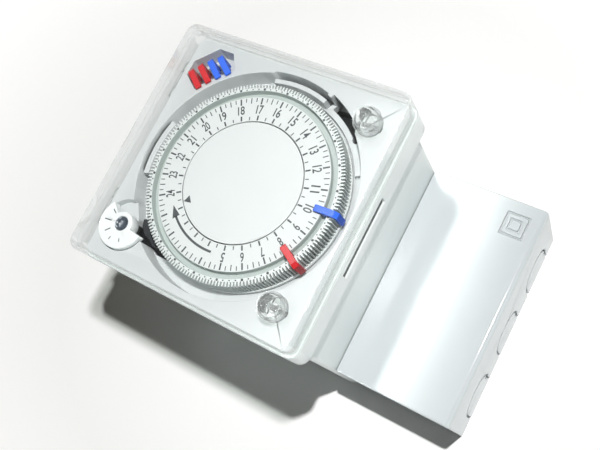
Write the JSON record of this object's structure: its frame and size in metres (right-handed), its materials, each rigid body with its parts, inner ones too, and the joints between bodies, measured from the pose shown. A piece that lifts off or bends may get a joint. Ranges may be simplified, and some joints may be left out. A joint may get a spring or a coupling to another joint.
{
  "type": "programmable time switch",
  "caption": "Surface-mounting mechanical 24 hour time switch: splined dial with clip-on riders under a clear hinged cover, and a terminal compartment below.",
  "frame": {"origin": "on the wall face of the case's back, on the dial's axis", "axes": "+Z out of the wall through the dial, +Y away from the terminal compartment, +X across the front"},
  "size_m": [0.072, 0.1059, 0.0699],
  "materials": {
    "rear_case": "light satin grain",
    "front_frame": "light satin grain",
    "frame_screws": "zinc plated",
    "dial_plate": "satin",
    "dial_spindle": "ground",
    "centre_disc": "satin",
    "dial_wheel": "satin",
    "hour_scale": "satin, printed with a 24 hour scale",
    "clutch_collar": "turned",
    "clutch_spring": "spring steel",
    "red_rider": "glossy",
    "blue_rider": "glossy",
    "spare_red_riders": "glossy",
    "spare_blue_riders": "glossy",
    "clock_wheel": "moulded",
    "second_wheel": "moulded",
    "first_wheel": "moulded",
    "gear_arbors": "ground",
    "movement_front_plate": "moulded",
    "movement_rear_plate": "stamped",
    "movement_pillars": "turned",
    "movement_screws": "zinc plated",
    "motor_can": "drawn",
    "motor_coil": "enamelled winding wire",
    "motor_stator": "stamped",
    "motor_rotor": "magnet",
    "motor_gearbox": "moulded",
    "motor_pinion": "cut",
    "override_knob": "satin",
    "knob_clip": "spring steel",
    "switch_lever": "satin",
    "lever_pin": "ground",
    "lever_spring": "spring steel",
    "switch_body": "moulded",
    "switch_plunger": "moulded",
    "switch_blade": "rolled",
    "switch_terminals": "rolled",
    "busbars": "rolled",
    "terminal_block": "moulded",
    "terminal_clamps": "plated",
    "terminal_screws": "zinc plated",
    "terminal_cover": "satin",
    "clear_cover": "clear moulded plastic",
    "cover_hinge_pins": "ground",
    "left_cover_post": "clear moulded plastic",
    "right_cover_post": "clear moulded plastic"
  },
  "bodies": {
    "case": {"rear_case": "rear_case", "front_frame": "front_frame", "frame_screws": "frame_screws", "dial_plate": "dial_plate", "dial_spindle": "dial_spindle", "centre_disc": "centre_disc", "spare_red_riders": "spare_red_riders", "spare_blue_riders": "spare_blue_riders", "gear_arbors": "gear_arbors", "movement_front_plate": "movement_front_plate", "movement_rear_plate": "movement_rear_plate", "movement_pillars": "movement_pillars", "movement_screws": "movement_screws", "motor_can": "motor_can", "motor_coil": "motor_coil", "motor_stator": "motor_stator", "motor_gearbox": "motor_gearbox", "lever_pin": "lever_pin", "lever_spring": "lever_spring", "switch_body": "switch_body", "switch_blade": "switch_blade", "switch_terminals": "switch_terminals", "busbars": "busbars", "terminal_block": "terminal_block", "terminal_clamps": "terminal_clamps", "terminal_screws": "terminal_screws", "cover_hinge_pins": "cover_hinge_pins"},
    "dial": {"dial_wheel": "dial_wheel", "hour_scale": "hour_scale", "clutch_collar": "clutch_collar", "clutch_spring": "clutch_spring", "red_rider": "red_rider", "blue_rider": "blue_rider"},
    "clock_gear": {"clock_wheel": "clock_wheel"},
    "second_gear": {"second_wheel": "second_wheel"},
    "first_gear": {"first_wheel": "first_wheel"},
    "output_pinion": {"motor_pinion": "motor_pinion"},
    "rotor": {"motor_rotor": "motor_rotor"},
    "knob": {"override_knob": "override_knob", "knob_clip": "knob_clip"},
    "lever": {"switch_lever": "switch_lever"},
    "plunger": {"switch_plunger": "switch_plunger"},
    "cover": {"clear_cover": "clear_cover"},
    "left_post": {"left_cover_post": "left_cover_post"},
    "right_post": {"right_cover_post": "right_cover_post"},
    "wiring_cover": {"terminal_cover": "terminal_cover"}
  },
  "joints": [
    {"name": "dial_spin", "type": "hinge", "parent": "case", "child": "dial", "pos_m": [0, 0, 0.06], "axis": [0, 0, 1], "continuous": true},
    {"name": "clock_wheel_spin", "type": "hinge", "parent": "case", "child": "clock_gear", "pos_m": [0, 0, 0.0487], "axis": [0, 0, 1], "continuous": true},
    {"name": "second_wheel_spin", "type": "hinge", "parent": "case", "child": "second_gear", "pos_m": [0.01679, 0.01176, 0.045], "axis": [0, 0, 1], "continuous": true},
    {"name": "first_wheel_spin", "type": "hinge", "parent": "case", "child": "first_gear", "pos_m": [0.02042, -0.00176, 0.041], "axis": [0, 0, 1], "continuous": true},
    {"name": "output_pinion_spin", "type": "hinge", "parent": "case", "child": "output_pinion", "pos_m": [0.00914, -0.00587, 0.04], "axis": [0, 0, 1], "continuous": true},
    {"name": "rotor_spin", "type": "hinge", "parent": "case", "child": "rotor", "pos_m": [0.00914, -0.00587, 0.019], "axis": [0, 0, 1], "continuous": true},
    {"name": "override_turn", "type": "hinge", "parent": "case", "child": "knob", "pos_m": [-0.024, 0.027, 0.062], "axis": [0, 0, 1], "range_deg": [-66, 0]},
    {"name": "lever_swing", "type": "hinge", "parent": "case", "child": "lever", "pos_m": [-0.025, 0.013, 0.05], "axis": [0, 0, 1], "range_deg": [0, 6], "stiffness_Nm_per_rad": 0.02, "springref_deg": -5.73},
    {"name": "plunger_push", "type": "slide", "parent": "case", "child": "plunger", "axis": [1, 0, 0], "range_m": [0, 0.0008]},
    {"name": "cover_hinge", "type": "hinge", "parent": "case", "child": "cover", "pos_m": [0, 0.036, 0.0616], "axis": [-1, 0, 0], "range_deg": [0, 105]},
    {"name": "left_post_turn", "type": "hinge", "parent": "cover", "child": "left_post", "pos_m": [-0.0263, -0.0264, 0.066], "axis": [0, 0, 1], "range_deg": [0, 90]},
    {"name": "right_post_turn", "type": "hinge", "parent": "cover", "child": "right_post", "pos_m": [0.0263, -0.0264, 0.066], "axis": [0, 0, 1], "range_deg": [0, 90]},
    {"name": "terminal_cover_lift", "type": "slide", "parent": "case", "child": "wiring_cover", "axis": [0, 0, 1], "range_m": [0, 0.024]}
  ],
  "couplings": [
    {"joint": "clock_wheel_spin", "follows": "dial_spin", "ratio": 1},
    {"joint": "second_wheel_spin", "follows": "dial_spin", "ratio": -7.2},
    {"joint": "first_wheel_spin", "follows": "dial_spin", "ratio": 43.2},
    {"joint": "output_pinion_spin", "follows": "dial_spin", "ratio": -216},
    {"joint": "plunger_push", "follows": "lever_swing", "m_per_rad": 0.007}
  ]
}
